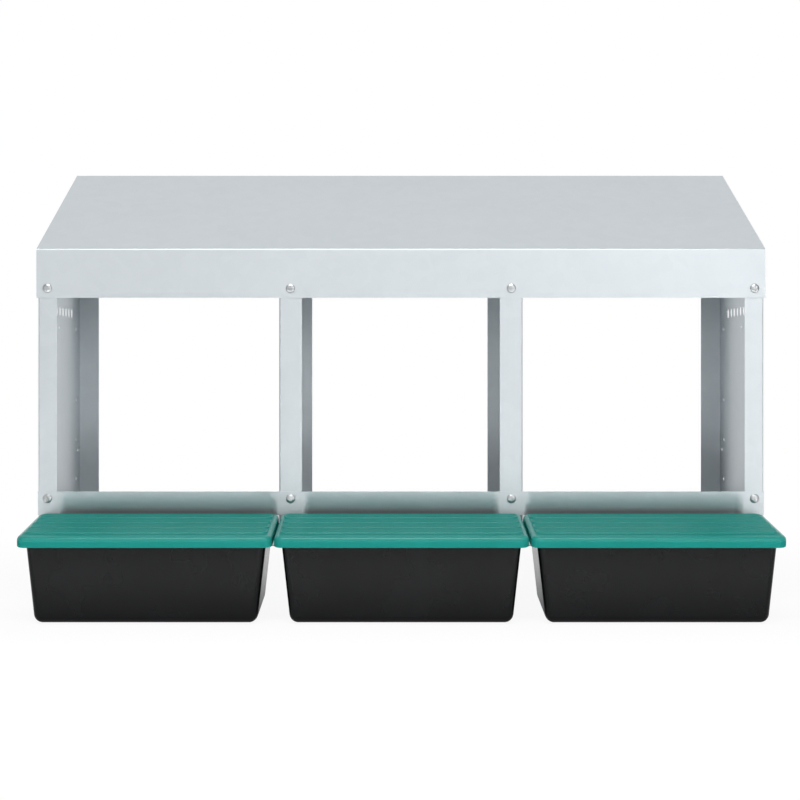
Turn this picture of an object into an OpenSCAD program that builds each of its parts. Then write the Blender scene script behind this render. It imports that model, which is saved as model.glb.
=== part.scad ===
// Three-bay roll out nest box: a folded sheet body with an open front and back, a sloped floor,
// and three egg trays with hinged lids hung in front of it.
// The egg side looks towards -Y and the ground is at z = 0.
// Inside the modules y = 0 is the front face of the posts, and stand() centres the part.

/* [Body] */
// Spacing of the bays
bay_pitch = 317; // [290:1:350]
// Distance from the row of lids to the outer face of a side panel
side_margin = 1.5; // [1:0.1:20]
// Depth from the front face of the posts to the rear face of the rear flanges
body_d = 262; // [230:1:340]
// Height of the roof's front fold
eave_h = 474.5; // [450:0.5:560]
// Height of the roof's rear fold
ridge_h = 605.5; // [580:0.5:700]
// Thickness of the sheet
sheet_t = 1; // [0.8:0.1:1.4]
// Inside radius of the folds
bend_r = 1.5; // [1:0.1:2.5]

/* [Roof] */
// Height of the front fascia
fascia_h = 64.5; // [50:0.5:76]
// Height of the fascia screws above the fascia's bottom edge
fascia_screw_rise = 12.5; // [9:0.5:20]
// Height of the skirts along the sides
skirt_h = 24; // [15:1:40]
// Height of the rear fold
tail_h = 40; // [30:1:60]
// Clearance between the roof and the panels under it
roof_gap = 3; // [2.5:0.1:5]
// Clearance between the skirts and the side panels
skirt_gap = 1; // [0.5:0.1:3]

/* [Side panels] */
// Width of the front posts
post_w = 25; // [20:1:32]
// Width of the rear flanges
rear_flange_w = 30; // [24:1:40]
// Width of the hem on the edge of a rear flange
hem_w = 6; // [4:0.5:9]
// Width of the foot that is folded in at the bottom
foot_w = 30; // [20:1:45]
// Number of vent slots on a side
vent_count = 9; // [3:1:10]
// Spacing of the vent slots
vent_pitch = 19.5; // [15:0.5:21]
// Width of a vent slot
vent_w = 9; // [5:0.5:12]
// Height of a vent slot
vent_h = 14; // [13:0.5:24]
// Distance from the fascia's bottom edge down to the row of vent slots
vent_drop = 13; // [10:0.5:60]
// Diameter of the spare holes in the side panels
side_hole_d = 6; // [4:0.5:8]
// Distance of the spare holes from the rear face
side_hole_inset = 24; // [18:1:40]
// Spacing of the two upper spare holes
side_hole_pitch = 113; // [60:1:160]
// Distance from the fascia's bottom edge down to the two upper spare holes
side_hole_drop = 35; // [28:0.5:60]
// Spacing of the column of spare holes under them
side_hole_step = 58; // [40:1:70]
// Distance of the spare hole beside the rear fold from the rear face
fold_hole_inset = 11; // [9:0.5:12]
// Height of the spare hole beside the rear fold above the rail
fold_hole_rise = 42; // [30:1:50]
// Diameter of the wall fixing holes in the rear flanges
wall_hole_d = 7; // [5:0.5:9]
// Height of the lower wall fixing holes
wall_hole_z = 45; // [30:1:66]
// Distance from the roof's rear fold down to the upper wall fixing holes
wall_hole_drop = 65.5; // [20:0.5:100]

/* [Dividers] */
// Distance from the line between two bays to a divider's outer face
divider_offset = 1.9; // [0:0.1:6]
// Width of a divider's front and rear flanges
divider_flange_w = 30; // [24:1:36]
// Width of a divider's foot on the floor
divider_foot_w = 25; // [16:1:28]
// Distance from a divider's foot to the front and the rear of the floor
divider_foot_inset = 16; // [10:1:40]

/* [Rails] */
// Height of the front rail's top edge
rail_top = 155; // [145:1:180]
// Depth of the front rail
rail_h = 31; // [26:1:36]
// Distance of the rail screws from the front rail's top edge
rail_screw_drop = 9.3; // [8:0.1:14]
// Height of the rear rail's top edge
rear_rail_top = 128; // [124:1:134]
// Depth of the rear rail
rear_rail_h = 44; // [36:1:50]

/* [Floor] */
// Slope of the floor in degrees
floor_slope = 8; // [6:0.1:9]
// Height at which the floor's slope would meet the front face
floor_front_z = 82; // [80:0.5:86]
// Distance behind the front face at which the chutes begin
chute_y = 50; // [40:1:70]
// Distance behind the front face at which the floor ends beside the chutes
ledge_y = 8; // [6:1:30]
// Slit between a chute and the floor beside it
chute_slit = 1; // [0.6:0.1:3]
// Clearance between a chute and the sides of its tray's window
chute_gap = 7; // [4:0.5:15]
// Height of a chute's front lip
chute_lip_z = 70; // [68:0.5:76]
// Distance from the front face to the apron under the lip
apron_y = 4; // [3:0.1:5]
// Height of the apron's bottom edge
apron_bottom = 28; // [22:1:32]
// Height of the flanges at the floor's sides
floor_side_h = 20; // [16:1:30]
// Depth of the flange at the floor's rear
floor_tail_h = 26; // [22:1:30]

/* [Nest mats] */
// Clearance between the middle mat and the dividers' feet
mat_side_gap = 4.4; // [2:0.1:20]
// Clearance between a mat and the front and the rear of the floor
mat_end_gap = 11.5; // [6:0.5:30]
// Thickness of a nest mat
mat_t = 5; // [3:0.5:8]

/* [Lids] */
// Gap between two lids
lid_gap = 2; // [1.5:0.1:5]
// Depth of a lid along its slope
lid_d = 131; // [124:0.1:150]
// Slope of the lids in degrees
lid_slope = 7.5; // [5:0.1:9]
// Distance from the front face to a lid's rear edge
lid_rear_y = 8.5; // [8:0.1:11]
// Height of a lid's border at its rear edge
lid_rear_z = 127.3; // [124:0.1:130]
// Thickness of a lid
lid_t = 2.5; // [2:0.1:2.8]
// Height of a lid's rim
lid_rim_h = 14; // [13.5:0.1:18]
// Corner radius at a lid's front
lid_front_r = 11; // [8:0.5:24]
// Corner radius at a lid's rear
lid_rear_r = 10; // [6:0.5:12]
// Number of raised bars on a lid
bar_count = 4; // [2:1:4]
// Width of a bar
bar_w = 23; // [14:0.5:24]
// Spacing of the bars
bar_pitch = 27; // [25:0.5:29]
// Height of a bar
bar_h = 1.8; // [1:0.1:3]
// Corner radius of a bar
bar_r = 8; // [4:0.5:9]
// Border between the bars and a lid's edge
bar_border = 7; // [4:0.5:12]
// Distance from a lid's rear edge to the first bar
bar_start = 10; // [4:0.5:14]

/* [Trays] */
// Width left at each side of the window in a tray's rear wall
window_post_w = 20; // [16:0.5:30]
// Draft of a tray's side walls in degrees
tray_draft = 6.35; // [3:0.05:6.5]
// Distance from the front face to a tray's front wall
tray_front_y = 124; // [110:1:128]
// Clearance between a tray's rear wall and its lid when open
tray_swing_gap = 2.5; // [1.5:0.1:3.5]
// Height of a tray's lowest point above the ground
tray_low_z = 2.2; // [1:0.1:8]
// Slope of a tray's bottom in degrees
tray_slope = 8; // [4:0.1:10]
// Wall thickness of a tray
tray_t = 2.5; // [2:0.1:3.5]
// Radius of a tray's upright corners
tray_corner_r = 9; // [7:0.5:20]
// Radius round a tray's bottom
tray_base_r = 10; // [7:0.5:16]
// Clearance between a tray's rim and its lid
tray_lid_gap = 0.3; // [0.2:0.05:0.4]
// Width that a tray's bead stands out from its wall at the front
bead_front = 6; // [3:0.5:8]
// Clearance between a tray's bead and the lid's rim at the sides
bead_gap = 1.5; // [1:0.1:2]
// Thickness of a tray's bead
bead_t = 3; // [2:0.1:5]
// Distance between a tray's bead and the lid's boss
bead_end_gap = 8; // [4:0.5:20]

/* [Tray hangers] */
// Distance from a chute's side to the end of its hanger
hanger_inset = 23; // [16:0.5:40]
// Distance from a hanger's end to its outer rivets
hanger_rivet_inset = 19; // [10:0.5:40]
// Height of a hanger's bottom edge above the apron's
hanger_rise = 2; // [1:0.5:6]
// Height of a hanger's top edge
hanger_top = 64; // [62:0.5:65]
// Height of a hanger's flat on the apron
hanger_flat_h = 14; // [12:0.5:15]
// Step of a hanger away from the apron
hanger_step = 5; // [4.5:0.1:6]
// Clearance between a tray's lip and its hanger
hang_gap = 0.3; // [0.2:0.05:0.6]
// Depth of a tray's hook behind its hanger
hook_h = 14; // [8:0.5:16]
// Thickness of a tray's hook
hook_t = 2.2; // [1.5:0.1:2.5]
// Clearance between a tray's hook and its hanger
hook_gap = 0.6; // [0.4:0.1:0.8]
// Width of a pad that steadies a tray against the apron
pad_w = 10; // [6:0.5:11]

/* [Hinges] */
// Diameter of a hinge pin
pin_d = 5; // [3:0.1:5.4]
// Radial running clearance of a hinge pin
pin_play = 0.05; // [0.03:0.01:0.1]
// Distance of the hinge from a lid's rear edge
hinge_set = 15.5; // [14:0.1:18]
// Distance of the hinge under a lid's border
hinge_drop = 8; // [7.9:0.05:8.4]
// Radius of the ears and bosses round the pins
ear_r = 5; // [4:0.05:5.2]
// Length of a tray's ear
ear_l = 6.4; // [5:0.1:9]
// Gap between an ear and the lid's boss
ear_gap = 0.5; // [0.3:0.1:1]
// Length of a lid's boss
boss_l = 3.65; // [3:0.05:6]
// Drop of a tray's rear corners under the hinge
ear_trim = 2; // [1:0.1:4]

/* [Fasteners] */
// Diameter of the machine screws
screw_d = 6; // [5:0.1:6.5]
// Diameter of a screw's head
head_d = 12; // [10:0.5:13]
// Height of a screw's head
head_h = 3.2; // [2.5:0.1:3.3]
// Radial clearance of a screw in its hole
screw_play = 0.3; // [0.2:0.05:0.5]
// Width of a nut across its flats
nut_w = 10; // [9:0.5:11]
// Thickness of a nut
nut_h = 5; // [4:0.5:6]
// Length of thread past a nut
thread_spare = 2; // [1:0.5:4]
// Diameter of the rivets
rivet_d = 4; // [3:0.1:4.8]
// Diameter of a rivet's head
rivet_head_d = 8; // [6:0.5:9]
// Height of a rivet's head
rivet_head_h = 1.3; // [1:0.1:1.6]
// Distance of the outer rivets from the ends of a divider's foot
rivet_inset = 30; // [10:1:60]

/* [Hidden] */
$fn = 40;
bend_steps = 4;
corner_steps = 6;
cut = 5;

// Sheet colours
zinc = [0.80, 0.83, 0.84];
green = [0.20, 0.55, 0.51];
black = [0.15, 0.16, 0.17];
steel = [0.72, 0.74, 0.75];

// The body's outside, and the roof line
lid_w = bay_pitch - lid_gap;
side_x = bay_pitch + bay_pitch / 2 + side_margin + lid_gap / 2;
side_in_x = side_x - sheet_t;
roof_x = side_x + skirt_gap + sheet_t;
divider_x = bay_pitch / 2 + divider_offset;
fascia_bottom = eave_h - fascia_h;
roof_rise = (ridge_h - eave_h) / (body_d + 2 * sheet_t);
roof_drop = sheet_t / cos(atan(roof_rise));
function roof_z(y) = eave_h + (y + sheet_t) * roof_rise;
function under_roof(y) = roof_z(y) - roof_drop - roof_gap;

// Columns of screws, which run up the middle of the flanges
post_x = side_x - post_w / 2;
rear_x = side_x - rear_flange_w / 2;
divider_mid_x = divider_x - divider_flange_w / 2;
fascia_screw_z = fascia_bottom + fascia_screw_rise;
rail_screw_z = rail_top - rail_screw_drop;
tail_screw_z = ridge_h - tail_h / 2;
rear_rail_screw_z = rear_rail_top - rear_rail_h / 2;
front_columns = [-post_x, -divider_mid_x, divider_mid_x, post_x];
rear_columns = [-rear_x, -divider_mid_x, divider_mid_x, rear_x];
screw_hole_d = screw_d + 2 * screw_play;

// Floor line, its rear edge and the clear strip that the mats lie in
function floor_z(y) = floor_front_z + y * tan(floor_slope);
floor_rear_y = body_d - sheet_t;
floor_mid_y = (chute_y + floor_rear_y) / 2;
divider_low_z = floor_z(chute_y);
rear_flange_low_z = rear_rail_top - rear_rail_h;
divider_foot_y = (floor_rear_y - chute_y) / 2 - divider_foot_inset;
rivet_y = divider_foot_y - rivet_inset;
mat_w = 2 * (divider_x - divider_foot_w - mat_side_gap);
mat_l = (floor_rear_y - chute_y) / cos(floor_slope) - 2 * mat_end_gap;
mat_bay_x = (side_in_x - sheet_t + divider_x) / 2;

// Hinge axis of the lids, and the tray that carries it
hinge_y = -lid_rear_y - hinge_set * cos(lid_slope) + hinge_drop * sin(lid_slope);
hinge_z = lid_rear_z - hinge_set * sin(lid_slope) - hinge_drop * cos(lid_slope);
lid_in_x = lid_w / 2 - lid_t;
tray_rear_y = -hinge_y - (hinge_drop - lid_t) + tray_swing_gap;
boss_x = lid_in_x - boss_l;
ear_x = boss_x - ear_gap;
function tray_x(z) = ear_x + (z - hinge_z) * tan(tray_draft);
bead_rear = hinge_set + ear_r + bead_end_gap;
lip_z = hanger_top + hang_gap;
hanger_y = apron_y + sheet_t + hanger_step;
hook_y = hanger_y - sheet_t - hook_gap;
hanger_low_z = apron_bottom + hanger_rise;
step_z = hanger_low_z + hanger_flat_h;
window_w = 2 * (tray_x(lip_z) - window_post_w);
chute_w = window_w - 2 * chute_gap;
hanger_w = chute_w - 2 * hanger_inset;
pad_x = (chute_w / 2 + hanger_w / 2) / 2;

// The part's reach to the front and to the rear
front_reach = lid_rear_y + lid_d * cos(lid_slope);
rear_reach = body_d + sheet_t + head_h;
stand_y = (front_reach - rear_reach) / 2;

// Plane geometry
function unit(v) = v / norm(v);
function left_of(v) = [-v.y, v.x];
function turn(a, b, c) = cross(b - a, c - b);

// Points of the arc that rounds corner b of the line a, b, c
function round_corner(a, b, c, r, steps) =
  let (
    u = unit(a - b),
    v = unit(c - b),
    half = acos(u * v) / 2,
    centre = b + unit(u + v) * (r / sin(half)),
    from = b + u * (r / tan(half)) - centre,
    start = atan2(from.y, from.x),
    sweep = sign(turn(a, b, c)) * (180 - 2 * half)
  )
  [for (i = [0:steps]) centre + r * [cos(start + sweep * i / steps), sin(start + sweep * i / steps)]];

// An open line whose corners are rounded, with its own radius for left and for right turns
function rounded_line(p, left_r, right_r) =
  [for (i = [0:len(p) - 1])
    each i == 0 || i == len(p) - 1
      ? [p[i]]
      : round_corner(p[i - 1], p[i], p[i + 1],
          turn(p[i - 1], p[i], p[i + 1]) > 0 ? left_r : right_r, bend_steps)];

// The same line moved to its left by t
function moved_line(p, t) =
  [for (i = [0:len(p) - 1])
    let (
      before = left_of(unit(p[max(i, 1)] - p[max(i, 1) - 1])),
      after = left_of(unit(p[min(i + 1, len(p) - 1)] - p[min(i, len(p) - 2)]))
    )
    p[i] + (before + after) * t / (1 + before * after)];

function reversed(p) = [for (i = [len(p) - 1:-1:0]) p[i]];

// A closed loop with its own radius at each corner
function rounded_loop(p, r) =
  [for (i = [0:len(p) - 1])
    each round_corner(p[(i + len(p) - 1) % len(p)], p[i], p[(i + 1) % len(p)], r[i], corner_steps)];

// Section of a sheet folded along a line, with the sheet on the line's left
module folded(p) {
  polygon(concat(
    rounded_line(p, bend_r + sheet_t, bend_r),
    reversed(rounded_line(moved_line(p, sheet_t), bend_r, bend_r + sheet_t))));
}

// A rectangle from corner to corner, rounded at its front and at its rear
module rounded_plan(x, rear, front, rear_r, front_r) {
  polygon(rounded_loop(
    [[-x, -rear], [-x, -front], [x, -front], [x, -rear]], [rear_r, front_r, front_r, rear_r]));
}

// Moves the part so that its box is centred over the origin
module stand() {
  translate([0, stand_y, 0]) children();
}

module block(low, high) {
  translate(low) cube(high - low);
}

// Draws a section of the Y and Z directions from x0 to x1
module along_x(x0, x1) {
  translate([x0, 0, 0]) rotate([90, 0, 90]) linear_extrude(x1 - x0) children();
}

module bore_x(d, x0, x1, y, z) {
  translate([x0, y, z]) rotate([0, 90, 0]) cylinder(d = d, h = x1 - x0);
}

module bore_y(d, x, y0, y1, z) {
  translate([x, y0, z]) rotate([-90, 0, 0]) cylinder(d = d, h = y1 - y0);
}

// Fasteners, with their heads above z = 0
module pan_screw(grip) {
  edge_h = head_h / 3;
  recess_l = head_d * 0.55;
  recess_w = head_d / 9;
  recess_h = head_h * 0.5;
  difference() {
    rotate_extrude()
      polygon(concat(
        [[0, 0], [head_d / 2, 0]],
        [for (a = [0:15:90]) [head_d / 2 * cos(a), edge_h + (head_h - edge_h) * sin(a)]]));
    for (a = [0, 90])
      rotate(a)
        translate([-recess_l / 2, -recess_w / 2, head_h - recess_h])
          cube([recess_l, recess_w, head_h]);
  }
  translate([0, 0, -grip - nut_h - thread_spare])
    cylinder(d = screw_d, h = grip + nut_h + thread_spare);
}

module hex_nut(grip) {
  translate([0, 0, -grip - nut_h])
    difference() {
      cylinder(d = nut_w / cos(30), h = nut_h, $fn = 6);
      translate([0, 0, -cut]) cylinder(d = screw_d + 2 * pin_play, h = nut_h + 2 * cut);
    }
}

module rivet(grip) {
  tail_d = rivet_head_d * 0.8;
  rotate_extrude()
    polygon(concat(
      [[0, 0]], [for (a = [0:15:90]) [rivet_head_d / 2 * cos(a), rivet_head_h * sin(a)]]));
  translate([0, 0, -grip]) cylinder(d = rivet_d, h = grip);
  translate([0, 0, -grip - rivet_head_h]) cylinder(d = tail_d, h = rivet_head_h);
}

// Rows of fasteners through the front face or the rear face
module front_row(z) {
  for (x = front_columns)
    translate([x, -sheet_t, z]) rotate([90, 0, 0]) children();
}

module rear_row(z) {
  for (x = rear_columns)
    translate([x, body_d + sheet_t, z]) rotate([-90, 0, 0]) children();
}

module front_row_holes(z) {
  for (x = front_columns)
    bore_y(screw_hole_d, x, -cut, cut, z);
}

module rear_row_holes(z) {
  for (x = rear_columns)
    bore_y(screw_hole_d, x, body_d - cut, body_d + cut, z);
}

// Roof: fascia, slope and rear fold in one sheet, with a skirt along each side
module roof_panel() {
  color(zinc) stand()
    difference() {
      union() {
        along_x(-roof_x, roof_x)
          folded([
            [body_d + sheet_t, ridge_h - tail_h],
            [body_d + sheet_t, ridge_h],
            [-sheet_t, eave_h],
            [-sheet_t, fascia_bottom],
          ]);
        for (x = [-roof_x, roof_x - sheet_t])
          along_x(x, x + sheet_t)
            polygon([
              [0, eave_h - skirt_h],
              [body_d, ridge_h - skirt_h],
              [body_d, roof_z(body_d) - roof_drop / 2],
              [0, roof_z(0) - roof_drop / 2],
            ]);
      }
      front_row_holes(fascia_screw_z);
      rear_row_holes(tail_screw_z);
    }
}

// Side panel: post, web and rear flange in one sheet, with a foot at the bottom
module side_panel() {
  difference() {
    intersection() {
      union() {
        linear_extrude(ridge_h)
          folded([
            [rear_flange_w - side_x, body_d],
            [-side_x, body_d],
            [-side_x, 0],
            [post_w - side_x, 0],
          ]);
        block(
          [rear_flange_w - hem_w - side_x, body_d - 2 * sheet_t, rail_top],
          [rear_flange_w - side_x, body_d - sheet_t / 2, ridge_h]);
        block(
          [sheet_t / 2 - side_x, sheet_t + bend_r, 0],
          [foot_w - side_x, body_d - sheet_t - bend_r, sheet_t]);
      }
      along_x(-side_x, side_x)
        polygon([[0, 0], [body_d, 0], [body_d, under_roof(body_d)], [0, under_roof(0)]]);
    }
    side_vents();
    side_holes();
    front_row_holes(fascia_screw_z);
    front_row_holes(rail_screw_z);
    rear_row_holes(tail_screw_z);
    rear_row_holes(rear_rail_screw_z);
    for (z = [wall_hole_z, ridge_h - tail_h - wall_hole_drop])
      bore_y(wall_hole_d, -rear_x, body_d - cut, body_d + cut, z);
  }
}

module side_vents() {
  first_y = body_d / 2 - vent_pitch * (vent_count - 1) / 2;
  for (i = [0:vent_count - 1])
    translate([-side_x - cut, first_y + i * vent_pitch, fascia_bottom - vent_drop]) {
      block([0, -vent_w / 2, (vent_w - vent_h) / 2], [2 * cut, vent_w / 2, (vent_h - vent_w) / 2]);
      for (z = [(vent_w - vent_h) / 2, (vent_h - vent_w) / 2])
        translate([0, 0, z]) rotate([0, 90, 0]) cylinder(d = vent_w, h = 2 * cut);
    }
}

module side_holes() {
  rear_y = body_d - side_hole_inset;
  for (y = [rear_y, rear_y - side_hole_pitch])
    bore_x(side_hole_d, -side_x - cut, cut - side_x, y, fascia_bottom - side_hole_drop);
  for (i = [0:2])
    bore_x(side_hole_d, -side_x - cut, cut - side_x, rear_y, rail_top + i * side_hole_step);
  bore_x(side_hole_d, -side_x - cut, cut - side_x, body_d - fold_hole_inset, rail_top + fold_hole_rise);
  for (y = floor_rivet_y())
    bore_x(rivet_d, -side_x - cut, cut - side_x, y, floor_rivet_z(y));
}

module left_side_panel() {
  color(zinc) stand() side_panel();
}

module right_side_panel() {
  color(zinc) stand() mirror([1, 0, 0]) side_panel();
}

// Divider: flanges and web in one sheet, standing on the floor with a folded foot
module divider() {
  foot_y0 = floor_mid_y - divider_foot_y;
  foot_y1 = floor_mid_y + divider_foot_y;
  difference() {
    union() {
      intersection() {
        linear_extrude(ridge_h)
          folded([
            [divider_flange_w - divider_x, body_d],
            [-divider_x, body_d],
            [-divider_x, 0],
            [divider_flange_w - divider_x, 0],
          ]);
        along_x(-divider_x, 0)
          polygon([
            [0, divider_low_z],
            [chute_y, divider_low_z],
            [floor_rear_y, floor_z(floor_rear_y)],
            [floor_rear_y, rear_flange_low_z],
            [body_d, rear_flange_low_z],
            [body_d, under_roof(body_d)],
            [0, under_roof(0)],
          ]);
      }
      along_x(sheet_t / 2 - divider_x, divider_foot_w - divider_x)
        polygon([
          [foot_y0, floor_z(foot_y0)],
          [foot_y1, floor_z(foot_y1)],
          [foot_y1, floor_z(foot_y1) + sheet_t],
          [foot_y0, floor_z(foot_y0) + sheet_t],
        ]);
    }
    front_row_holes(fascia_screw_z);
    front_row_holes(rail_screw_z);
    rear_row_holes(tail_screw_z);
    rear_row_holes(rear_rail_screw_z);
    divider_rivet_places(-1) translate([0, 0, -cut]) cylinder(d = rivet_d, h = 2 * cut);
  }
}

module left_divider() {
  color(zinc) stand() divider();
}

module right_divider() {
  color(zinc) stand() mirror([1, 0, 0]) divider();
}

module front_rail() {
  color(zinc) stand()
    difference() {
      block([-side_x, -sheet_t, rail_top - rail_h], [side_x, 0, rail_top]);
      front_row_holes(rail_screw_z);
    }
}

module rear_rail() {
  color(zinc) stand()
    difference() {
      block([-side_x, body_d, rear_flange_low_z], [side_x, body_d + sheet_t, rear_rail_top]);
      rear_row_holes(rear_rail_screw_z);
    }
}

// Floor: a sloped sheet with side and rear flanges, and a chute with an apron for each tray
module floor_panel() {
  rear_fold = [
    [floor_rear_y, floor_z(floor_rear_y) - floor_tail_h],
    [floor_rear_y, floor_z(floor_rear_y)],
    [chute_y, floor_z(chute_y)],
  ];
  ledge_fold = [rear_fold[0], rear_fold[1], [ledge_y, floor_z(ledge_y)]];
  relief = 2 * (bend_r + sheet_t);
  color(zinc) stand()
    difference() {
      union() {
        difference() {
          along_x(-side_in_x, side_in_x) folded(ledge_fold);
          for (x = [-bay_pitch, 0, bay_pitch])
            block(
              [x - chute_w / 2 - chute_slit, 0, 0],
              [x + chute_w / 2 + chute_slit, chute_y, ridge_h]);
        }
        for (x = [-bay_pitch, 0, bay_pitch])
          along_x(x - chute_w / 2, x + chute_w / 2)
            folded(concat(rear_fold, [[-apron_y, chute_lip_z], [-apron_y, apron_bottom]]));
        for (x = [-side_in_x, side_in_x - sheet_t])
          along_x(x, x + sheet_t)
            polygon([
              [chute_y, floor_z(chute_y) - sheet_t / 2],
              [floor_rear_y - sheet_t - bend_r, floor_z(floor_rear_y - sheet_t - bend_r) - sheet_t / 2],
              [floor_rear_y - sheet_t - bend_r, floor_z(floor_rear_y) + floor_side_h],
              [chute_y, floor_z(chute_y) + floor_side_h],
            ]);
      }
      for (x = [-side_in_x, side_in_x])
        block([x - relief, floor_rear_y - relief, 0], [x + relief, body_d, ridge_h]);
      rear_row_holes(rear_rail_screw_z);
      for (y = floor_rivet_y())
        bore_x(rivet_d, -side_x - cut, side_x + cut, y, floor_rivet_z(y));
      for (side = [-1, 1])
        divider_rivet_places(side) translate([0, 0, -cut]) cylinder(d = rivet_d, h = 2 * cut);
      hanger_rivet_places() translate([0, 0, -cut]) cylinder(d = rivet_d, h = 2 * cut);
    }
}

// Nest mats, which lie on the floor in each bay
module nest_mat(x) {
  edge = mat_t / 2;
  color(black) stand()
    translate([x, floor_mid_y, floor_z(floor_mid_y)])
      rotate([floor_slope, 0, 0])
        translate([-mat_w / 2, 0, 0])
          rotate([90, 0, 90])
            linear_extrude(mat_w)
              polygon([
                [-mat_l / 2, 0],
                [mat_l / 2, 0],
                [mat_l / 2, mat_t - edge],
                [mat_l / 2 - edge, mat_t],
                [edge - mat_l / 2, mat_t],
                [-mat_l / 2, mat_t - edge],
              ]);
}

module left_nest_mat() {
  nest_mat(-mat_bay_x);
}

module centre_nest_mat() {
  nest_mat(0);
}

module right_nest_mat() {
  nest_mat(mat_bay_x);
}

// Tray hanger: a stepped strip on the apron, with a free edge that a tray hooks over
module tray_hanger(x) {
  apron_face = -apron_y - sheet_t;
  color(zinc) stand()
    difference() {
      along_x(x - hanger_w / 2, x + hanger_w / 2)
        polygon([
          [-apron_y, hanger_low_z],
          [-apron_y, step_z + sheet_t],
          [sheet_t - hanger_y, step_z + sheet_t],
          [sheet_t - hanger_y, hanger_top],
          [-hanger_y, hanger_top],
          [-hanger_y, step_z],
          [apron_face, step_z],
          [apron_face, hanger_low_z],
        ]);
      hanger_rivet_places() translate([0, 0, -cut]) cylinder(d = rivet_d, h = 2 * cut);
    }
}

module left_tray_hanger() {
  tray_hanger(-bay_pitch);
}

module centre_tray_hanger() {
  tray_hanger(0);
}

module right_tray_hanger() {
  tray_hanger(bay_pitch);
}

// A tray's body, or with an inset the space inside it
module tray_body(inset) {
  front_zc = tray_low_z + tray_base_r;
  run = tray_front_y - tray_rear_y - 2 * tray_base_r;
  rear_zc = front_zc + run * tan(tray_slope);
  top_z = lid_rear_z + inset;
  side_inset = inset / cos(tray_draft);
  lean = tray_base_r / cos(tray_draft);
  hull()
    for (s = [-1, 1]) {
      translate([s * (tray_x(front_zc) - lean), tray_base_r - tray_front_y, front_zc])
        sphere(tray_base_r - inset, $fn = 24);
      translate([s * (tray_x(rear_zc) - lean), -tray_rear_y - tray_base_r, rear_zc])
        sphere(tray_base_r - inset, $fn = 24);
      for (y = [tray_corner_r - tray_front_y, -tray_rear_y - tray_corner_r])
        translate([s * (tray_x(top_z) - side_inset - tray_corner_r + inset), y, top_z - 1])
          cylinder(r = tray_corner_r - inset, h = 1, $fn = 24);
    }
}

// The frame that a lid and a tray's rim lie in: its origin is at the middle of the lid's rear edge
module lid_frame() {
  translate([0, -lid_rear_y, lid_rear_z]) rotate([lid_slope, 0, 0]) children();
}

module egg_tray(x) {
  rim_n = -lid_t - tray_lid_gap;
  bead_x = lid_in_x - bead_gap;
  bead_front_v = (tray_front_y + bead_front - lid_rear_y) / cos(lid_slope);
  color(black) stand() translate([x, 0, 0])
    difference() {
      union() {
        difference() {
          tray_body(0);
          tray_body(tray_t);
          lid_frame() block([-lid_w, -2 * lid_d, rim_n], [lid_w, lid_d, lid_d]);
          block([-lid_w, hinge_y, hinge_z - ear_trim], [lid_w, 0, lid_rear_z + cut]);
          block([-window_w / 2, -tray_rear_y - 2 * tray_t, lip_z + tray_t], [window_w / 2, 0, ridge_h]);
        }
        lid_frame()
          translate([0, 0, rim_n - bead_t])
            linear_extrude(bead_t)
              difference() {
                rounded_plan(bead_x, 0, bead_front_v, lid_rear_r, lid_front_r);
                rounded_plan(
                  tray_x(tray_low_z + lid_rear_z - lid_rim_h) - 3 * tray_t / 2, -lid_rear_y,
                  bead_front_v - bead_front - tray_t / 2, lid_rear_r, tray_corner_r);
                translate([-lid_w, -bead_rear]) square([2 * lid_w, 2 * bead_rear]);
              }
        for (s = [0, 1])
          mirror([s, 0, 0]) {
            bore_x(2 * ear_r, ear_x - ear_l, ear_x, hinge_y, hinge_z);
            block(
              [pad_x - pad_w / 2, -tray_rear_y - tray_t / 2, apron_bottom + pad_w / 2],
              [pad_x + pad_w / 2, -apron_y - hang_gap, apron_bottom + 3 * pad_w / 2]);
          }
        block(
          [-hanger_w / 2, -tray_rear_y - tray_t / 2, lip_z],
          [hanger_w / 2, hook_t - hook_y, lip_z + tray_t]);
        block(
          [-hanger_w / 2, -hook_y, hanger_top - hook_h],
          [hanger_w / 2, hook_t - hook_y, lip_z + tray_t / 2]);
      }
      bore_x(pin_d + 2 * pin_play, -lid_w, lid_w, hinge_y, hinge_z);
    }
}

module left_egg_tray() {
  egg_tray(-bay_pitch);
}

module centre_egg_tray() {
  egg_tray(0);
}

module right_egg_tray() {
  egg_tray(bay_pitch);
}

// Lid: a plate with a rim round its front and sides, raised bars and a boss for each pin
module lid(x) {
  rim_rear = lid_rear_r / 2;
  bar_x = lid_w / 2 - bar_border;
  color(green) stand() translate([x, 0, 0])
    difference() {
      union() {
        lid_frame() {
          translate([0, 0, -lid_t])
            linear_extrude(lid_t)
              rounded_plan(lid_w / 2, 0, lid_d, lid_rear_r, lid_front_r);
          translate([0, 0, -lid_rim_h])
            linear_extrude(lid_rim_h)
              difference() {
                rounded_plan(lid_w / 2, 0, lid_d, lid_rear_r, lid_front_r);
                rounded_plan(lid_in_x, -lid_rear_r, lid_d - lid_t, lid_rear_r, lid_front_r - lid_t);
                translate([-lid_w, -rim_rear]) square([2 * lid_w, 2 * rim_rear]);
              }
          for (i = [0:bar_count - 1])
            linear_extrude(bar_h)
              rounded_plan(
                bar_x, bar_start + i * bar_pitch, bar_start + i * bar_pitch + bar_w, bar_r, bar_r);
        }
        for (s = [0, 1])
          mirror([s, 0, 0])
            bore_x(2 * ear_r, boss_x, lid_in_x + lid_t / 2, hinge_y, hinge_z);
      }
      bore_x(pin_d, -lid_w, lid_w, hinge_y, hinge_z);
    }
}

module left_lid() {
  lid(-bay_pitch);
}

module centre_lid() {
  lid(0);
}

module right_lid() {
  lid(bay_pitch);
}

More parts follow.
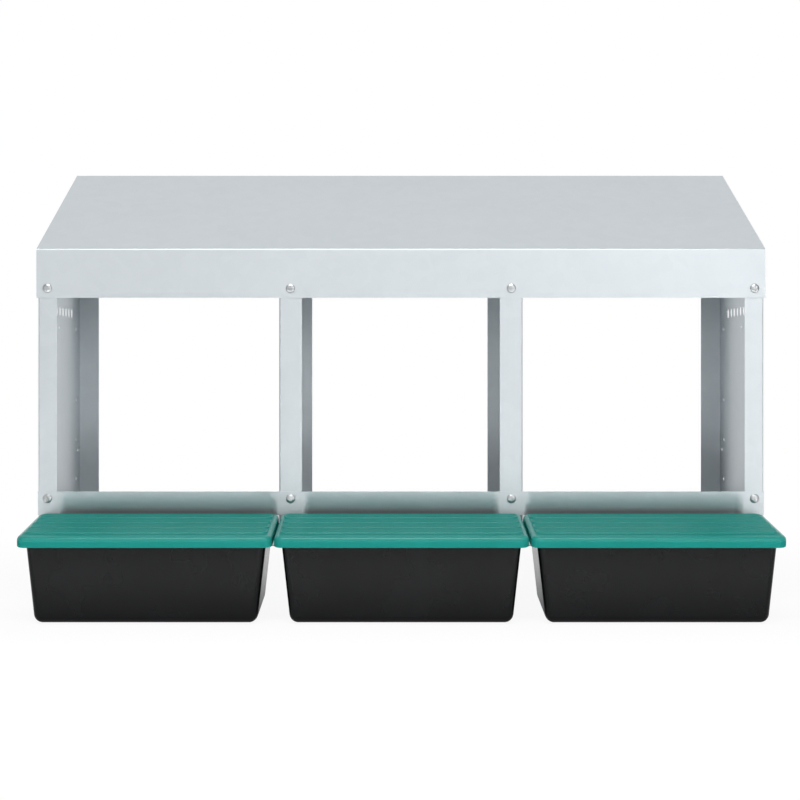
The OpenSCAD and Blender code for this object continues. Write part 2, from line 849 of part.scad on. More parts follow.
// Hinge pins, held in the lid's bosses and turning in the tray's ears
module hinge_pins(x) {
  pin_out = lid_w / 2;
  pin_in = ear_x - ear_l;
  color(steel) stand() translate([x, 0, 0])
    for (s = [0, 1])
      mirror([s, 0, 0]) bore_x(pin_d, pin_in, pin_out, hinge_y, hinge_z);
}

module left_hinge_pins() {
  hinge_pins(-bay_pitch);
}

module centre_hinge_pins() {
  hinge_pins(0);
}

module right_hinge_pins() {
  hinge_pins(bay_pitch);
}

module fascia_screws() {
  color(steel) stand() front_row(fascia_screw_z) pan_screw(2 * sheet_t);
}

module fascia_nuts() {
  color(steel) stand() front_row(fascia_screw_z) hex_nut(2 * sheet_t);
}

module rail_screws() {
  color(steel) stand() front_row(rail_screw_z) pan_screw(2 * sheet_t);
}

module rail_nuts() {
  color(steel) stand() front_row(rail_screw_z) hex_nut(2 * sheet_t);
}

module roof_rear_screws() {
  color(steel) stand() rear_row(tail_screw_z) pan_screw(2 * sheet_t);
}

module roof_rear_nuts() {
  color(steel) stand() rear_row(tail_screw_z) hex_nut(2 * sheet_t);
}

module rear_rail_screws() {
  color(steel) stand() rear_row(rear_rail_screw_z) pan_screw(3 * sheet_t);
}

module rear_rail_nuts() {
  color(steel) stand() rear_row(rear_rail_screw_z) hex_nut(3 * sheet_t);
}

// Rivets through the side panels and the floor's side flanges
function floor_rivet_y() = [for (k = [-1, 0, 1]) floor_mid_y + k * rivet_y];
function floor_rivet_z(y) = floor_z(y) + floor_side_h / 2;

module floor_rivets() {
  color(steel) stand()
    for (s = [0, 1], y = floor_rivet_y())
      mirror([s, 0, 0])
        translate([-side_x, y, floor_rivet_z(y)]) rotate([0, -90, 0]) rivet(2 * sheet_t);
}

// Rivets through a divider's foot and the floor, square to the floor
module divider_rivet_places(side) {
  x = side * (divider_x - divider_foot_w / 2 - sheet_t / 2);
  for (k = [-1, 1]) {
    y = floor_mid_y + k * rivet_y;
    translate([x, y, floor_z(y)]) rotate([floor_slope, 0, 0]) children();
  }
}

module divider_rivets() {
  color(steel) stand()
    for (side = [-1, 1])
      divider_rivet_places(side)
        translate([0, 0, sheet_t * cos(floor_slope)]) rivet(sheet_t + sheet_t * cos(floor_slope));
}

// Rivets through the hangers and the aprons
module hanger_rivet_places() {
  rivet_x = hanger_w / 2 - hanger_rivet_inset;
  rivet_z = hanger_low_z + hanger_flat_h / 2;
  for (x = [-bay_pitch, 0, bay_pitch], k = [-1, 0, 1])
    translate([x + k * rivet_x, -apron_y - sheet_t, rivet_z]) rotate([90, 0, 0]) children();
}

module hanger_rivets() {
  color(steel) stand() hanger_rivet_places() rivet(2 * sheet_t);
}

roof_panel();
left_side_panel();
right_side_panel();
left_divider();
right_divider();
front_rail();
rear_rail();
floor_panel();
left_nest_mat();
centre_nest_mat();
right_nest_mat();
left_tray_hanger();
centre_tray_hanger();
right_tray_hanger();
left_egg_tray();
centre_egg_tray();
right_egg_tray();
left_lid();
centre_lid();
right_lid();
left_hinge_pins();
centre_hinge_pins();
right_hinge_pins();
fascia_screws();
fascia_nuts();
rail_screws();
rail_nuts();
roof_rear_screws();
roof_rear_nuts();
rear_rail_screws();
rear_rail_nuts();
floor_rivets();
divider_rivets();
hanger_rivets();
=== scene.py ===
import math

import bmesh
import bpy
from mathutils import Matrix, Vector


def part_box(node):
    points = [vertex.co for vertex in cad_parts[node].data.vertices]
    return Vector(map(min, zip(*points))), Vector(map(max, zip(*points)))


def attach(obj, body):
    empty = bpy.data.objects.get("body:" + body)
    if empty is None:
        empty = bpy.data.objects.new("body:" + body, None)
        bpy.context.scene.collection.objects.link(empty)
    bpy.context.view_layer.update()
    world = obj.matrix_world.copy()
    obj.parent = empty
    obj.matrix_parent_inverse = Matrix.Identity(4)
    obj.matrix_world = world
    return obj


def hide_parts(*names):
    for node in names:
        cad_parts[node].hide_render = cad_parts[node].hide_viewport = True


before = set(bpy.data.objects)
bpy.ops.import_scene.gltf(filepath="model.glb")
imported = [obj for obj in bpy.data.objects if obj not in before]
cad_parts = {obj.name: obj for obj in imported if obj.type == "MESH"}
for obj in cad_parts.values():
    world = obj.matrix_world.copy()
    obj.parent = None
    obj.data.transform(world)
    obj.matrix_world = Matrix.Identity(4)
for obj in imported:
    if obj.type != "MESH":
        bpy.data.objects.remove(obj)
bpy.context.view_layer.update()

# Sizes that the solids share with this scene, in metres and radians
FRONT_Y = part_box("left_side_panel")[0].y
BAY_PITCH = 0.317
BAYS = {"left": -BAY_PITCH, "centre": 0.0, "right": BAY_PITCH}

LID_SET = 0.0085
LID_REAR_Y = FRONT_Y - LID_SET
LID_REAR_Z = 0.1273
LID_W = 0.315
LID_D = 0.131
LID_T = 0.0025
LID_RIM_H = 0.014
LID_SLOPE = math.radians(7.5)
LID_FRONT_R = 0.011
LID_REAR_R = 0.010
BAR_COUNT = 4
BAR_W = 0.023
BAR_PITCH = 0.027
BAR_H = 0.0018
BAR_R = 0.008
BAR_BORDER = 0.007
BAR_START = 0.010

HINGE_SET = 0.0155
HINGE_DROP = 0.008
HINGE_Y = LID_REAR_Y - HINGE_SET * math.cos(LID_SLOPE) + HINGE_DROP * math.sin(LID_SLOPE)
HINGE_Z = LID_REAR_Z - HINGE_SET * math.sin(LID_SLOPE) - HINGE_DROP * math.cos(LID_SLOPE)
BOSS_L = 0.00365
BOSS_X = LID_W / 2 - LID_T - BOSS_L
EAR_R = 0.005
EAR_L = 0.0064
EAR_GAP = 0.0005
EAR_X = BOSS_X - EAR_GAP
EAR_TRIM = 0.002

TRAY_DRAFT = math.radians(6.35)
TRAY_SLOPE = math.radians(8)
TRAY_REACH = 0.124
TRAY_FRONT_Y = FRONT_Y - TRAY_REACH
TRAY_SWING_GAP = 0.0025
TRAY_REAR_Y = HINGE_Y + HINGE_DROP - LID_T - TRAY_SWING_GAP
TRAY_LOW_Z = 0.0022
TRAY_T = 0.0025
TRAY_CORNER_R = 0.009
TRAY_BASE_R = 0.010
TRAY_LID_GAP = 0.0003
BEAD_FRONT = 0.006
BEAD_SIDE = 0.0025
BEAD_T = 0.003
BEAD_END = 0.028
HANGER_TOP = 0.064
HANGER_INSET = 0.023
HANG_GAP = 0.0003
SILL_Z = HANGER_TOP + HANG_GAP + TRAY_T
WINDOW_POST_W = 0.020
CHUTE_GAP = 0.007
HOOK_SET = 0.0084
HOOK_Y = FRONT_Y - HOOK_SET
HOOK_T = 0.0022
HOOK_H = 0.014
PAD_W = 0.010
PAD_LOW_Z = 0.033
APRON_SET = 0.004
APRON_Y = FRONT_Y - APRON_SET

FLOOR_SLOPE = math.radians(8)
MAT_T = 0.005

# Finer forms that only this scene has
LID_EDGE_R = 0.006
LID_UNDERSIDE = 0.00245
LID_LIP = LID_T / 4
BOSS_EDGE = LID_T / 5
# Inset and height of each ring of a bar's edge, from its foot in the lid to its top
BAR_PROFILE = (
    (-0.0006, -0.0002), (-0.0002, 0.0001), (0, 0.0005), (0.0002, 0.0011), (0.0006, 0.0016), (0.0012, BAR_H))
TRAY_EDGE_R = 0.0007
TRAY_SOFT_EDGE = TRAY_T / 6
MAT_BASE_T = 0.0032
MAT_EDGE_R = 0.0012
STUD_PITCH = 0.018
STUD_SIDES = 10
# Radius and height of each ring of a stud
STUD_RINGS = ((0.0052, 0.00288), (0.0036, 0.0046), (0.00252, MAT_T))
# The front rail is pressed back between these places along X, by a slope at its top and a curve below it
RAIL_BAYS = ((-0.452, -0.161), (-0.131, 0.131), (0.161, 0.452))
RAIL_LEAN = 0.12
RAIL_CURVE = 2.6
RAIL_BLEND = 0.012

# Mesh detail
ARC_STEPS = 6
REAR_ARC_STEPS = 3
ROUND_SIDES = 24
BEVEL_SEGMENTS = 2
RAIL_STEPS = 12
RAIL_BLEND_STEPS = 8
SHARP_ANGLE = math.radians(40)
LEAST_PLAN_R = 0.0001
LEAST_CORNER_R = 0.001
LEAST_RISE = 0.000001

# Camera
LENS = 68.7
SENSOR_W = 36
CAMERA_X = -0.012
CAMERA_Z = 0.315
CAMERA_DISTANCE = 2.011
SHIFT_X = 0.01025
SHIFT_Y = -0.0375

# Studio: reflections show the white background from the first to the second place along Y
WHITE = (1, 1, 1, 1)
FLOOR_HALF_W = 30
FLOOR_COLOUR = (0.9, 0.9, 0.9, 1)
FLOOR_BEHIND = (-0.3, 0.5)
SKY_BEHIND = (-0.2, 0.4)
SKY_STRENGTH = 0.35
SHADOW_NEAR = 0.4
SHADOW_FAR = 1.2
SHADOW_GLOW = 0.92
FULL_SPREAD = 180
# Lamps: place, aim, width and height, power in watts, and spread in degrees
LAMPS = {
    "bounce": ((0.3, -0.72, 1.0), (0.3, -0.72, 0), (2.8, 0.4), 7.5, 45),
    "front": ((0.5, -3.0, 1.15), (0, 0, 0.4), (4.2, 1.3), 14, FULL_SPREAD),
    "key": ((1.3, -2.2, 0.9), (0, 0, 0.3), (1.5, 1.3), 7, FULL_SPREAD),
    "fill": ((-1.6, -2.0, 0.9), (0, 0, 0.3), (1.2, 1.3), 3, FULL_SPREAD),
    "top": ((-0.1, -1.5, 2.2), (0, -0.1, 0.2), (1.6, 0.6), 36, FULL_SPREAD),
}


# Materials: colours are linear, and noise is in cells per metre
def new_material(name, constants):
    """A material whose shader has the constants, and coordinates in metres."""
    material = bpy.data.materials.new(name)
    material.use_nodes = True
    nodes = material.node_tree.nodes
    shader = nodes["Principled BSDF"]
    for socket, value in constants.items():
        shader.inputs[socket].default_value = value
    coordinates = nodes.new("ShaderNodeTexCoord").outputs["Object"]
    return material, nodes, material.node_tree.links, shader, coordinates


def noise(nodes, links, coordinates, cells, detail=3.0):
    """A soft grey pattern."""
    texture = nodes.new("ShaderNodeTexNoise")
    texture.inputs["Scale"].default_value = cells
    texture.inputs["Detail"].default_value = detail
    links.new(coordinates, texture.inputs["Vector"])
    return texture.outputs["Fac"]


def ramp(nodes, links, factor, low, high, start=0.3, end=0.7):
    """Turns a grey factor into a colour between low and high."""
    node = nodes.new("ShaderNodeValToRGB")
    node.color_ramp.elements[0].position = start
    node.color_ramp.elements[1].position = end
    node.color_ramp.elements[0].color = (*low, 1)
    node.color_ramp.elements[1].color = (*high, 1)
    links.new(factor, node.inputs["Fac"])
    return node.outputs["Color"]


def add_gloss(nodes, links, shader, coordinates, low, high, cells):
    """Varies the roughness between low and high."""
    node = nodes.new("ShaderNodeMapRange")
    node.inputs["To Min"].default_value = low
    node.inputs["To Max"].default_value = high
    links.new(noise(nodes, links, coordinates, cells), node.inputs["Value"])
    links.new(node.outputs["Result"], shader.inputs["Roughness"])


def add_grain(nodes, links, shader, height, strength, depth):
    """Raises the surface by a pattern, to a depth in metres."""
    node = nodes.new("ShaderNodeBump")
    node.inputs["Strength"].default_value = strength
    node.inputs["Distance"].default_value = depth
    links.new(height, node.inputs["Height"])
    links.new(node.outputs["Normal"], shader.inputs["Normal"])


def galvanised_material():
    """Satin zinc-coated sheet with a faint spangle and cloudy gloss."""
    material, nodes, links, shader, coordinates = new_material("galvanised", {"Metallic": 0.9})
    dark = (0.578, 0.619, 0.645)
    light = (0.592, 0.633, 0.659)
    spangle = nodes.new("ShaderNodeTexVoronoi")
    spangle.inputs["Scale"].default_value = 70
    links.new(coordinates, spangle.inputs["Vector"])
    grey = nodes.new("ShaderNodeSeparateColor")
    links.new(spangle.outputs["Color"], grey.inputs["Color"])
    colour = ramp(nodes, links, grey.outputs["Red"], dark, light, start=0.0, end=1.0)
    links.new(colour, shader.inputs["Base Color"])
    add_gloss(nodes, links, shader, coordinates, low=0.40, high=0.48, cells=9)
    height = noise(nodes, links, coordinates, cells=900)
    add_grain(nodes, links, shader, height, strength=0.04, depth=0.0005)
    return material


def zinc_material():
    """Bright zinc plate on the screws, nuts, rivets and pins."""
    material, nodes, links, shader, coordinates = new_material("zinc_plate", {"Metallic": 1.0})
    tint = noise(nodes, links, coordinates, cells=120)
    colour = ramp(nodes, links, tint, low=(0.46, 0.48, 0.49), high=(0.56, 0.58, 0.59))
    links.new(colour, shader.inputs["Base Color"])
    add_gloss(nodes, links, shader, coordinates, low=0.26, high=0.34, cells=120)
    height = noise(nodes, links, coordinates, cells=1500)
    add_grain(nodes, links, shader, height, strength=0.05, depth=0.0003)
    return material


def green_material(name, specular, roughness, grain):
    """Moulded plastic of the lids, with the strength of its fine surface grain."""
    constants = {"Specular IOR Level": specular}
    material, nodes, links, shader, coordinates = new_material(name, constants)
    tint = noise(nodes, links, coordinates, cells=14)
    colour = ramp(nodes, links, tint, low=(0.011, 0.222, 0.190), high=(0.013, 0.238, 0.206))
    links.new(colour, shader.inputs["Base Color"])
    add_gloss(nodes, links, shader, coordinates, low=roughness, high=roughness + 0.06, cells=45)
    height = noise(nodes, links, coordinates, cells=1400)
    add_grain(nodes, links, shader, height, strength=grain, depth=0.0003)
    return material


def black_material(name, grain_cells):
    """Satin black moulded plastic of the trays and mats."""
    constants = {"Specular IOR Level": 0.155}
    material, nodes, links, shader, coordinates = new_material(name, constants)
    tint = noise(nodes, links, coordinates, cells=18)
    colour = ramp(nodes, links, tint, low=(0.0025, 0.0028, 0.0032), high=(0.0045, 0.0050, 0.0055))
    links.new(colour, shader.inputs["Base Color"])
    add_gloss(nodes, links, shader, coordinates, low=0.16, high=0.22, cells=60)
    height = noise(nodes, links, coordinates, cells=grain_cells, detail=4)
    add_grain(nodes, links, shader, height, strength=0.08, depth=0.0004)
    return material


GALVANISED = galvanised_material()
ZINC = zinc_material()
GREEN_SATIN = green_material("green_satin", specular=0.025, roughness=0.38, grain=0.08)
GREEN_POLISHED = green_material("green_polished", specular=0.25, roughness=0.2, grain=0.02)
TRAY_BLACK = black_material("tray_black", grain_cells=1600)
MAT_BLACK = black_material("mat_black", grain_cells=700)


# Mesh helpers
def arc(start, end, steps=ARC_STEPS):
    """Angles in radians from start to end degrees."""
    return [math.radians(start + (end - start) * i / steps) for i in range(steps + 1)]


def turn(sides):
    """Angles in radians once round a circle."""
    return arc(0, 360, sides)[:-1]


def rounded_plan(x, rear, front, rear_r, front_r, inset):
    """Points round a rectangle from above, anticlockwise from its front right corner."""
    corners = [(1, -front, 1, front_r, -90), (1, -rear, -1, rear_r, 0)]
    corners += [(-1, -rear, -1, rear_r, 90), (-1, -front, 1, front_r, 180)]
    points = []
    for side, edge, inward, radius, start in corners:
        r = max(radius, inset + LEAST_PLAN_R)
        for a in arc(start, start + 90):
            px = side * (x - r) + (r - inset) * math.cos(a)
            points.append((px, edge + inward * r + (r - inset) * math.sin(a)))
    return points


def add_loft(mesh, rings, polished_from=None):
    """Joins closed rings of points with faces, and fills the first and the last.

    The faces from the ring polished_from up to the last ring take the piece's second material.
    """
    rows = [[mesh.verts.new(p) for p in ring] for ring in rings]
    count = len(rows[0])
    for row, (low, high) in enumerate(zip(rows, rows[1:])):
        for i in range(count):
            j = (i + 1) % count
            face = mesh.faces.new((low[i], low[j], high[j], high[i]))
            face.material_index = int(polished_from is not None and row >= polished_from)
    mesh.faces.new(rows[0][::-1])
    mesh.faces.new(rows[-1])


def add_round_bar(mesh, x0, x1, y, z, radius, edge):
    """A round bar along X with softened ends."""
    rings = []
    for x, r in ((x0, radius - edge), (x0 + edge, radius), (x1 - edge, radius), (x1, radius - edge)):
        rings.append([(x, y + r * math.cos(a), z + r * math.sin(a)) for a in turn(ROUND_SIDES)])
    add_loft(mesh, rings)


def add_round_box(mesh, low, high, edge):
    """A box with softened edges."""
    middle = (Vector(low) + Vector(high)) / 2
    size = Vector(high) - Vector(low)
    scale = Matrix.Diagonal((*size, 1))
    made = bmesh.ops.create_cube(mesh, size=1, matrix=Matrix.Translation(middle) @ scale)
    edges = list({e for v in made["verts"] for e in v.link_edges})
    bmesh.ops.bevel(mesh, geom=edges, offset=edge, segments=BEVEL_SEGMENTS, affect="EDGES")


def make_piece(name, mesh, materials, body, node, matrix=Matrix.Identity(4)):
    """Finishes a mesh as a smooth piece that stands for a CAD node."""
    bmesh.ops.recalc_face_normals(mesh, faces=mesh.faces)
    data = bpy.data.meshes.new(name)
    mesh.to_mesh(data)
    mesh.free()
    data.transform(matrix)
    data.polygons.foreach_set("use_smooth", [True] * len(data.polygons))
    data.set_sharp_from_angle(angle=SHARP_ANGLE)
    for material in materials:
        data.materials.append(material)
    piece = bpy.data.objects.new(name, data)
    bpy.context.scene.collection.objects.link(piece)
    weighted = piece.modifiers.new("weighted", "WEIGHTED_NORMAL")
    weighted.keep_sharp = True
    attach(piece, body)
    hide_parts(node)


# Lids, drawn flat with v along the slope and zero at the rear edge, then tilted
def lid_matrix(x):
    place = Matrix.Translation((x, LID_REAR_Y, LID_REAR_Z))
    return place @ Matrix.Rotation(LID_SLOPE, 4, "X")


def rear_share(v):
    """How far the outline has gone round the rear corner: 0 at the side, 1 at the rear edge."""
    return min(max((LID_REAR_R + v) / LID_REAR_R, 0), 1) ** 2


def rim_depth(v):
    """Depth of the lid's edge: a full rim at the front and sides, and only the plate at the rear."""
    return LID_RIM_H + (LID_T - LID_RIM_H) * rear_share(v)


def edge_radius(v):
    """Height of the round on the lid's upper edge."""
    return LID_EDGE_R + (LID_T / 2 - LID_EDGE_R) * rear_share(v)


def lid_ring(inset, level):
    """Points round the lid at an inset, where level gives the height from a place on the outline."""
    plan = rounded_plan(LID_W / 2, 0, LID_D, LID_REAR_R, LID_FRONT_R, inset)
    outline = rounded_plan(LID_W / 2, 0, LID_D, LID_REAR_R, LID_FRONT_R, 0)
    return [(x, v, level(edge_v)) for (x, v), (_, edge_v) in zip(plan, outline)]


def add_lid_shell(mesh):
    """The plate and its rim, from the underside round the rim's foot to the top."""
    rings = [lid_ring(LID_T, lambda v: -LID_UNDERSIDE)]
    rings.append(lid_ring(LID_T, lambda v: LID_LIP / 2 - rim_depth(v)))
    rings.append(lid_ring(LID_T - LID_LIP, lambda v: -rim_depth(v)))
    rings.append(lid_ring(LID_LIP, lambda v: -rim_depth(v)))
    rings.append(lid_ring(0, lambda v: LID_LIP - rim_depth(v)))
    wall_rings = len(rings)
    for a in arc(0, 90):
        inset = LID_EDGE_R * (1 - math.cos(a))
        rings.append(lid_ring(inset, lambda v: edge_radius(v) * (math.sin(a) - 1)))
    add_loft(mesh, rings, wall_rings)


def add_lid_bars(mesh):
    """The broad raised bars across the lid's top."""
    x = LID_W / 2 - BAR_BORDER
    for i in range(BAR_COUNT):
        start = BAR_START + i * BAR_PITCH
        rings = []
        for inset, height in BAR_PROFILE:
            plan = rounded_plan(x, start, start + BAR_W, BAR_R, BAR_R, inset)
            rings.append([(px, v, height) for px, v in plan])
        add_loft(mesh, rings, 0)


def make_lid(side, x):
    mesh = bmesh.new()
    add_lid_shell(mesh)
    add_lid_bars(mesh)
    mesh.transform(lid_matrix(x))
    for sign in (-1, 1):
        ends = sorted((x + sign * BOSS_X, x + sign * (LID_W / 2 - LID_T / 2)))
        add_round_bar(mesh, *ends, HINGE_Y, HINGE_Z, EAR_R, BOSS_EDGE)
    materials = (GREEN_SATIN, GREEN_POLISHED)
    make_piece(f"{side}_moulded_lid", mesh, materials, f"{side}_cover", f"{side}_lid")


# Trays
def tray_x(z):
    """Half the tray's width outside, which grows with height by the draft."""
    return EAR_X + (z - HINGE_Z) * math.tan(TRAY_DRAFT)


def tray_floor_z(y):
    """Height of the tray's underside, which rises to the rear."""
    return TRAY_LOW_Z + (y - TRAY_FRONT_Y - TRAY_BASE_R) * math.tan(TRAY_SLOPE)


def rim_z(y):
    """Height of the tray's rim under the lid's plate."""
    drop = (LID_T + TRAY_LID_GAP) / math.cos(LID_SLOPE)
    return LID_REAR_Z + (y - LID_REAR_Y) * math.tan(LID_SLOPE) - drop


def half_plan():
    """One half of a tray's outline from the front: corner angle or None, place along Y, bead and top."""
    front_yc = TRAY_FRONT_Y + TRAY_CORNER_R
    rear_yc = TRAY_REAR_Y - TRAY_CORNER_R
    hinge_a = math.degrees(math.asin((HINGE_Y - rear_yc) / TRAY_CORNER_R))
    bead_y = LID_REAR_Y - BEAD_END
    points = [(a, front_yc, 1, "rim") for a in arc(-90, 0)]
    points += [(0, bead_y - TRAY_T, 1, "rim"), (0, bead_y, 0, "rim")]
    points += [(a, rear_yc, 0, "rim") for a in arc(0, hinge_a, REAR_ARC_STEPS)]
    points += [(a, rear_yc, 0, "trim") for a in arc(hinge_a, 90, REAR_ARC_STEPS)]
    points += [(None, TRAY_REAR_Y, 0, "trim"), (None, TRAY_REAR_Y, 0, "sill")]
    return points


def top_z(kind, y):
    """Height of the tray's wall: to the lid, trimmed behind the hinge, or down to the window's sill."""
    return {"rim": rim_z(y), "trim": HINGE_Z - EAR_TRIM, "sill": SILL_Z}[kind]


def tray_point(spec, inset, height, bead):
    """A point of a tray's wall: height is from the underside, or from the wall's top if not above zero."""
    angle, yc, beaded, kind = spec
    side_out, front_out = (BEAD_SIDE, BEAD_FRONT) if bead and beaded else (0, 0)
    if angle is None:
        y = yc - inset
    else:
        r = max(TRAY_CORNER_R - inset, LEAST_CORNER_R)
        y = yc + r * math.sin(angle) + front_out * min(math.sin(angle), 0)
    z = top_z(kind, y) + height if height <= 0 else tray_floor_z(y) + height
    if angle is None:
        return (tray_x(SILL_Z) - WINDOW_POST_W, y, z)
    x = tray_x(z) - TRAY_CORNER_R + r * math.cos(angle) + side_out * math.cos(angle)
    return (x, y, z)


def tray_ring(inset, height, bead=False):
    """Points round the tray, anticlockwise from the middle of its front."""
    right = [tray_point(spec, inset, height, bead) for spec in half_plan()]
    left = [(-x, y, z) for x, y, z in reversed(right)]
    return right + left


def add_tray_shell(mesh):
    """The tray's underside, outer wall, beaded rim, inner wall and floor."""
    rings = []
    for a in arc(0, 90):
        inset = TRAY_BASE_R * (1 - math.sin(a))
        rings.append(tray_ring(inset, TRAY_BASE_R * (1 - math.cos(a)) + LEAST_RISE))
    rings.append(tray_ring(0, -BEAD_T - TRAY_EDGE_R))
    rings.append(tray_ring(0, -BEAD_T, bead=True))
    rings.append(tray_ring(0, -TRAY_EDGE_R, bead=True))
    rings.append(tray_ring(TRAY_EDGE_R, 0, bead=True))
    rings.append(tray_ring(TRAY_T - TRAY_EDGE_R, 0))
    rings.append(tray_ring(TRAY_T, -TRAY_EDGE_R))
    inner_r = TRAY_BASE_R - TRAY_T
    for a in reversed(arc(0, 90)):
        inset = TRAY_T + inner_r * (1 - math.sin(a))
        rings.append(tray_ring(inset, TRAY_T + inner_r * (1 - math.cos(a))))
    add_loft(mesh, rings)


def add_tray_hook(mesh):
    """The lip and hook over the hanger, and two pads that rest near the apron."""
    chute_x = tray_x(SILL_Z - TRAY_T) - WINDOW_POST_W - CHUTE_GAP
    hanger_x = chute_x - HANGER_INSET
    pad_x = (chute_x + hanger_x) / 2
    wall_y = TRAY_REAR_Y - TRAY_T / 2
    hook_rear_y = HOOK_Y + HOOK_T
    boxes = [((-hanger_x, wall_y, SILL_Z - TRAY_T), (hanger_x, hook_rear_y, SILL_Z))]
    boxes.append(((-hanger_x, HOOK_Y, HANGER_TOP - HOOK_H), (hanger_x, hook_rear_y, SILL_Z - TRAY_T / 2)))
    for middle in (-pad_x, pad_x):
        low = (middle - PAD_W / 2, wall_y, PAD_LOW_Z)
        boxes.append((low, (middle + PAD_W / 2, APRON_Y - HANG_GAP, PAD_LOW_Z + PAD_W)))
    for low, high in boxes:
        add_round_box(mesh, low, high, TRAY_SOFT_EDGE)


def make_tray(side, x):
    mesh = bmesh.new()
    add_tray_shell(mesh)
    add_tray_hook(mesh)
    for sign in (-1, 1):
        ends = sorted((sign * (EAR_X - EAR_L), sign * EAR_X))
        add_round_bar(mesh, *ends, HINGE_Y, HINGE_Z, EAR_R, TRAY_SOFT_EDGE)
    place = Matrix.Translation((x, 0, 0))
    make_piece(f"{side}_moulded_tray", mesh, (TRAY_BLACK,), f"{side}_tray",
               f"{side}_egg_tray", place)


# Nest mats
def add_stud(mesh, x, v, foot):
    rings = []
    for r, height in STUD_RINGS:
        rings.append([(x + r * math.cos(a), v + r * math.sin(a), foot + height) for a in turn(STUD_SIDES)])
    add_loft(mesh, rings)


def make_mat(side):
    """A moulded mat with rows of studs, in the place of its plain solid."""
    node = f"{side}_nest_mat"
    low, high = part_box(node)
    middle = (low + high) / 2
    half_w = (high.x - low.x) / 2
    run = (high.y - low.y) - MAT_T * math.sin(FLOOR_SLOPE)
    half_l = run / math.cos(FLOOR_SLOPE) / 2
    mesh = bmesh.new()
    foot = -MAT_T / 2
    rings = []
    for inset, height in ((0, 0), (0, MAT_BASE_T - MAT_EDGE_R), (MAT_EDGE_R, MAT_BASE_T)):
        plan = rounded_plan(half_w, -half_l, half_l, BAR_R, BAR_R, inset)
        rings.append([(px, v, foot + height) for px, v in plan])
    add_loft(mesh, rings)
    columns = int((half_w - STUD_PITCH / 2) / STUD_PITCH)
    rows = int((half_l - STUD_PITCH / 2) / STUD_PITCH)
    for i in range(-columns, columns + 1):
        for j in range(-rows, rows + 1):
            add_stud(mesh, i * STUD_PITCH, j * STUD_PITCH, foot)
    matrix = Matrix.Translation(middle) @ Matrix.Rotation(FLOOR_SLOPE, 4, "X")
    make_piece(f"{side}_studded_mat", mesh, (MAT_BLACK,), "housing", node, matrix)


# Front rail
def rail_share(x):
    """How fully the rail is pressed back: 1 in a bay, 0 in front of the posts and dividers."""
    inside = max(min(x - start, end - x) for start, end in RAIL_BAYS)
    share = min(max(inside / RAIL_BLEND, 0), 1)
    return share * share * (3 - 2 * share)


def rail_ring(x, low, high):
    """Points round the rail's section, down its front and up its back."""
    front = []
    back = []
    for i in range(RAIL_STEPS + 1):
        drop = (high.z - low.z) * i / RAIL_STEPS
        y = rail_share(x) * (RAIL_LEAN + RAIL_CURVE * drop) * drop
        front.append((x, low.y + y, high.z - drop))
        back.append((x, high.y + y, high.z - drop))
    return front + back[::-1]


def make_rail():
    """The front rail, whose lower edge is rolled back in each bay."""
    low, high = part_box("front_rail")
    stations = {low.x, high.x}
    for start, end in RAIL_BAYS:
        for i in range(RAIL_BLEND_STEPS + 1):
            step = RAIL_BLEND * i / RAIL_BLEND_STEPS
            stations |= {start + step, end - step}
    mesh = bmesh.new()
    add_loft(mesh, [rail_ring(x, low, high) for x in sorted(stations)])
    make_piece("rolled_front_rail", mesh, (GALVANISED,), "housing", "front_rail")


# Carried-over solids
def dress_solids():
    """Gives the sheet parts and the fasteners their materials."""
    for name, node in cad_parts.items():
        fastener = name.endswith(("screws", "nuts", "rivets", "pins"))
        node.data.materials.clear()
        node.data.materials.append(ZINC if fastener else GALVANISED)


# Studio
def combine(nodes, links, operation, first, second):
    node = nodes.new("ShaderNodeMath")
    node.operation = operation
    links.new(first, node.inputs[0])
    links.new(second, node.inputs[1])
    return node.outputs[0]


def rise(nodes, links, value, start, end, low=0.0):
    """Goes smoothly from low to 1 while the value goes from start to end."""
    node = nodes.new("ShaderNodeMapRange")
    node.interpolation_type = "SMOOTHSTEP"
    node.inputs["From Min"].default_value = start
    node.inputs["From Max"].default_value = end
    node.inputs["To Min"].default_value = low
    links.new(value, node.inputs["Value"])
    return node.outputs["Result"]


def background_share(nodes, links, coordinates, behind):
    """1 where the camera sees the background, and where a reflection or a clear surface shows it."""
    axes = nodes.new("ShaderNodeSeparateXYZ")
    links.new(coordinates, axes.inputs[0])
    path = nodes.new("ShaderNodeLightPath").outputs
    shown = combine(nodes, links, "MAXIMUM", path["Is Glossy Ray"], path["Is Transmission Ray"])
    shown = combine(nodes, links, "MULTIPLY", shown, rise(nodes, links, axes.outputs["Y"], *behind))
    return combine(nodes, links, "MAXIMUM", shown, path["Is Camera Ray"])


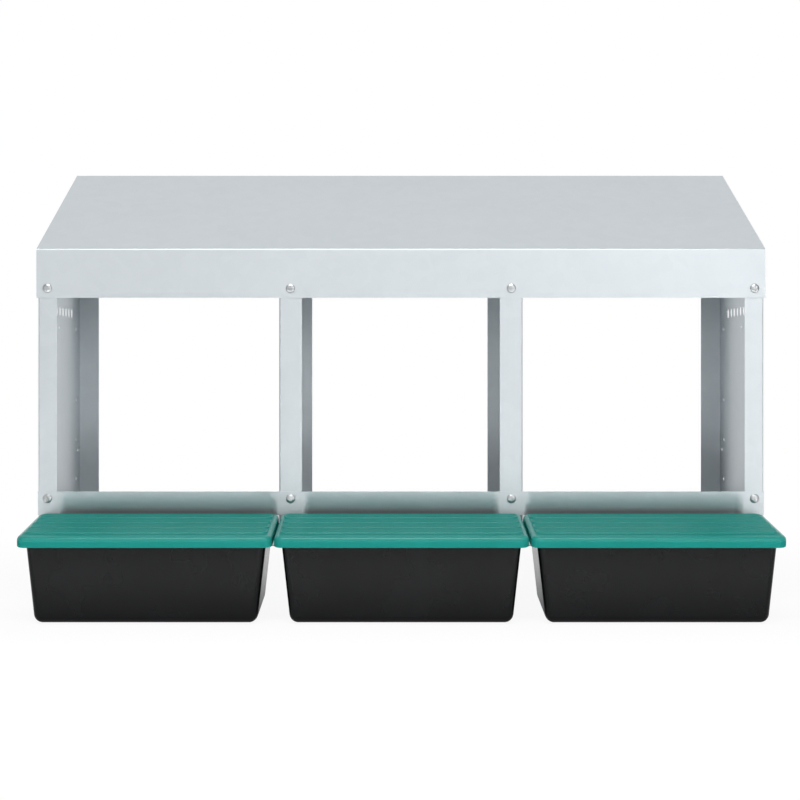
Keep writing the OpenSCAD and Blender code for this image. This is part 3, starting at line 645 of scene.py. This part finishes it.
def make_floor():
    """A white floor that shows as white to the camera and keeps the object's shadow."""
    mesh = bmesh.new()
    bmesh.ops.create_grid(mesh, x_segments=1, y_segments=1, size=FLOOR_HALF_W)
    data = bpy.data.meshes.new("floor")
    mesh.to_mesh(data)
    mesh.free()
    floor = bpy.data.objects.new("floor", data)
    bpy.context.scene.collection.objects.link(floor)
    constants = {"Base Color": FLOOR_COLOUR, "Roughness": 1.0, "Specular IOR Level": 0.0}
    material, nodes, links, shader, coordinates = new_material("floor", constants)
    glow = nodes.new("ShaderNodeEmission")
    glow.inputs["Color"].default_value = WHITE
    distance = nodes.new("ShaderNodeVectorMath")
    distance.operation = "LENGTH"
    links.new(coordinates, distance.inputs[0])
    fade = rise(nodes, links, distance.outputs["Value"], SHADOW_NEAR, SHADOW_FAR, SHADOW_GLOW)
    seen = background_share(nodes, links, coordinates, FLOOR_BEHIND)
    mix = nodes.new("ShaderNodeMixShader")
    links.new(combine(nodes, links, "MULTIPLY", fade, seen), mix.inputs["Fac"])
    links.new(shader.outputs["BSDF"], mix.inputs[1])
    links.new(glow.outputs["Emission"], mix.inputs[2])
    links.new(mix.outputs["Shader"], nodes["Material Output"].inputs["Surface"])
    data.materials.append(material)


def make_world():
    """Soft light from all round, which the camera and the reflections from behind see as plain white."""
    world = bpy.data.worlds.new("studio")
    bpy.context.scene.world = world
    world.use_nodes = True
    nodes = world.node_tree.nodes
    links = world.node_tree.links
    soft = nodes["Background"]
    soft.inputs["Color"].default_value = WHITE
    soft.inputs["Strength"].default_value = SKY_STRENGTH
    white = nodes.new("ShaderNodeBackground")
    white.inputs["Color"].default_value = WHITE
    directions = nodes.new("ShaderNodeTexCoord").outputs["Generated"]
    mix = nodes.new("ShaderNodeMixShader")
    links.new(background_share(nodes, links, directions, SKY_BEHIND), mix.inputs["Fac"])
    links.new(soft.outputs["Background"], mix.inputs[1])
    links.new(white.outputs["Background"], mix.inputs[2])
    links.new(mix.outputs["Shader"], nodes["World Output"].inputs["Surface"])


def make_lamp(name, place, aim, size, power, spread):
    data = bpy.data.lights.new(name, "AREA")
    data.shape = "RECTANGLE"
    data.size, data.size_y = size
    data.energy = power
    data.spread = math.radians(spread)
    lamp = bpy.data.objects.new(name, data)
    lamp.location = place
    lamp.rotation_euler = (Vector(aim) - Vector(place)).to_track_quat("-Z", "Y").to_euler()
    bpy.context.scene.collection.objects.link(lamp)


def make_camera():
    """A level camera that looks along +Y, framed by its shift."""
    data = bpy.data.cameras.new("camera")
    data.lens = LENS
    data.sensor_width = SENSOR_W
    data.shift_x = SHIFT_X
    data.shift_y = SHIFT_Y
    camera = bpy.data.objects.new("camera", data)
    camera.location = (CAMERA_X, FRONT_Y - CAMERA_DISTANCE, CAMERA_Z)
    camera.rotation_euler = (math.radians(90), 0, 0)
    bpy.context.scene.collection.objects.link(camera)
    bpy.context.scene.camera = camera


dress_solids()
for bay, bay_x in BAYS.items():
    make_lid(bay, bay_x)
    make_tray(bay, bay_x)
    make_mat(bay)
make_rail()
make_floor()
make_world()
for lamp_name, settings in LAMPS.items():
    make_lamp(lamp_name, *settings)
make_camera()
bpy.context.scene.view_settings.view_transform = "Standard"
